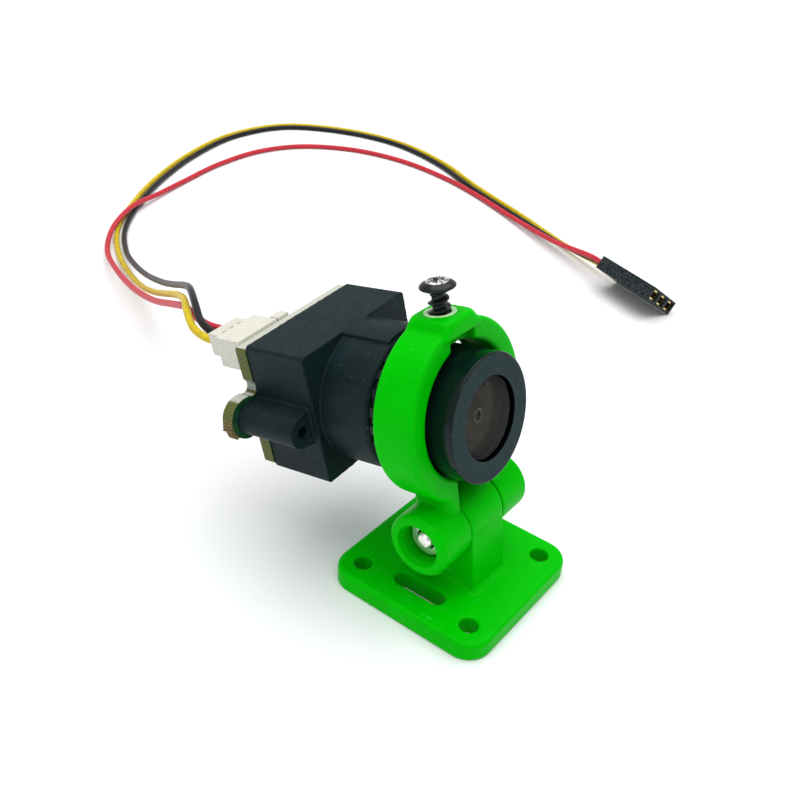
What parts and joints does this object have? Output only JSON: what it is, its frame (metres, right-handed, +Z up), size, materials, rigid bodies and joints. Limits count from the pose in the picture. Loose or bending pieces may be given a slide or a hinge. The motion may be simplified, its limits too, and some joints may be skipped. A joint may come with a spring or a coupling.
{
  "type": "tilting camera mount",
  "caption": "Tilting clamp mount on a square base plate, with a small board camera held by its lens and a three-wire power and video lead.",
  "frame": {"origin": "centre of the base plate's underside, on the surface that the mount stands on", "axes": "+Z up out of the plate, -Y the way the lens looks in plan, +X towards the pivot bolt's head"},
  "size_m": [0.132, 0.143, 0.0373],
  "materials": {
    "green_plastic": "semi-gloss bright green moulded plastic, edges rubbed pale",
    "nickel_steel": "bright nickel-plated steel",
    "black_steel": "black oxide steel with bright worn spots in the recess",
    "lens_metal": "dark grey anodised",
    "lens_glass": "coated lens glass",
    "filter_glass": "reddish coated filter glass",
    "housing_plastic": "fine-textured blue-black plastic",
    "board": "dark olive solder mask over glass-fibre board",
    "chip": "matte epoxy package",
    "capacitor": "fired ceramic chip with tinned ends",
    "crystal_metal": "stamped metal can",
    "ivory_plastic": "ivory nylon",
    "contact": "tinned brass contacts",
    "wire_yellow": "soft yellow insulation",
    "wire_black": "soft black insulation",
    "wire_red": "soft red insulation",
    "black_plastic": "semi-gloss black moulded plastic"
  },
  "bodies": {
    "base": {"base": "green_plastic"},
    "ring": {"clamp_ring": "green_plastic", "pivot_nut": "nickel_steel"},
    "bolt": {"pivot_bolt": "nickel_steel"},
    "clamp_screw": {"clamp_screw": "black_steel"},
    "camera": {"camera_housing": "housing_plastic", "sensor_board": "board", "image_sensor": "chip", "video_processor": "chip", "board_capacitors": "capacitor", "board_crystal": "crystal_metal", "board_screws": "black_steel", "power_socket": "ivory_plastic", "socket_pins": "contact", "aux_socket": "ivory_plastic", "power_plug": "ivory_plastic", "power_contacts": "contact", "wire_yellow": "wire_yellow", "wire_black": "wire_black", "wire_red": "wire_red", "cable_plug": "black_plastic", "cable_contacts": "contact"},
    "lens": {"lens_barrel": "lens_metal", "lens_retainer": "lens_metal", "front_lens": "lens_glass", "lens_spacer": "lens_metal", "middle_lens": "lens_glass", "rear_lens": "lens_glass", "ir_filter": "filter_glass"},
    "lock_ring": {"lock_ring": "lens_metal"}
  },
  "joints": [
    {"name": "tilt", "type": "hinge", "parent": "base", "child": "ring", "pos_m": [0, -0.0003, 0.01], "axis": [-1, 0, 0], "range_deg": [-100, 26]},
    {"name": "bolt_turn", "type": "hinge", "parent": "ring", "child": "bolt", "pos_m": [0, -0.0003, 0.01], "axis": [1, 0, 0], "continuous": true},
    {"name": "clamp_screw_turn", "type": "hinge", "parent": "ring", "child": "clamp_screw", "pos_m": [0, -0.0003, 0.01], "axis": [0, 0.2164, 0.9763], "continuous": true},
    {"name": "camera_roll", "type": "hinge", "parent": "ring", "child": "camera", "pos_m": [0, 0.00251, 0.02267], "axis": [0, 0.9763, -0.2164], "range_deg": [-180, 180]},
    {"name": "focus_turn", "type": "hinge", "parent": "camera", "child": "lens", "pos_m": [0, 0.00251, 0.02267], "axis": [0, 0.9763, -0.2164], "range_deg": [-180, 180]},
    {"name": "lock_ring_turn", "type": "hinge", "parent": "lens", "child": "lock_ring", "pos_m": [0, 0.00251, 0.02267], "axis": [0, 0.9763, -0.2164], "continuous": true}
  ]
}
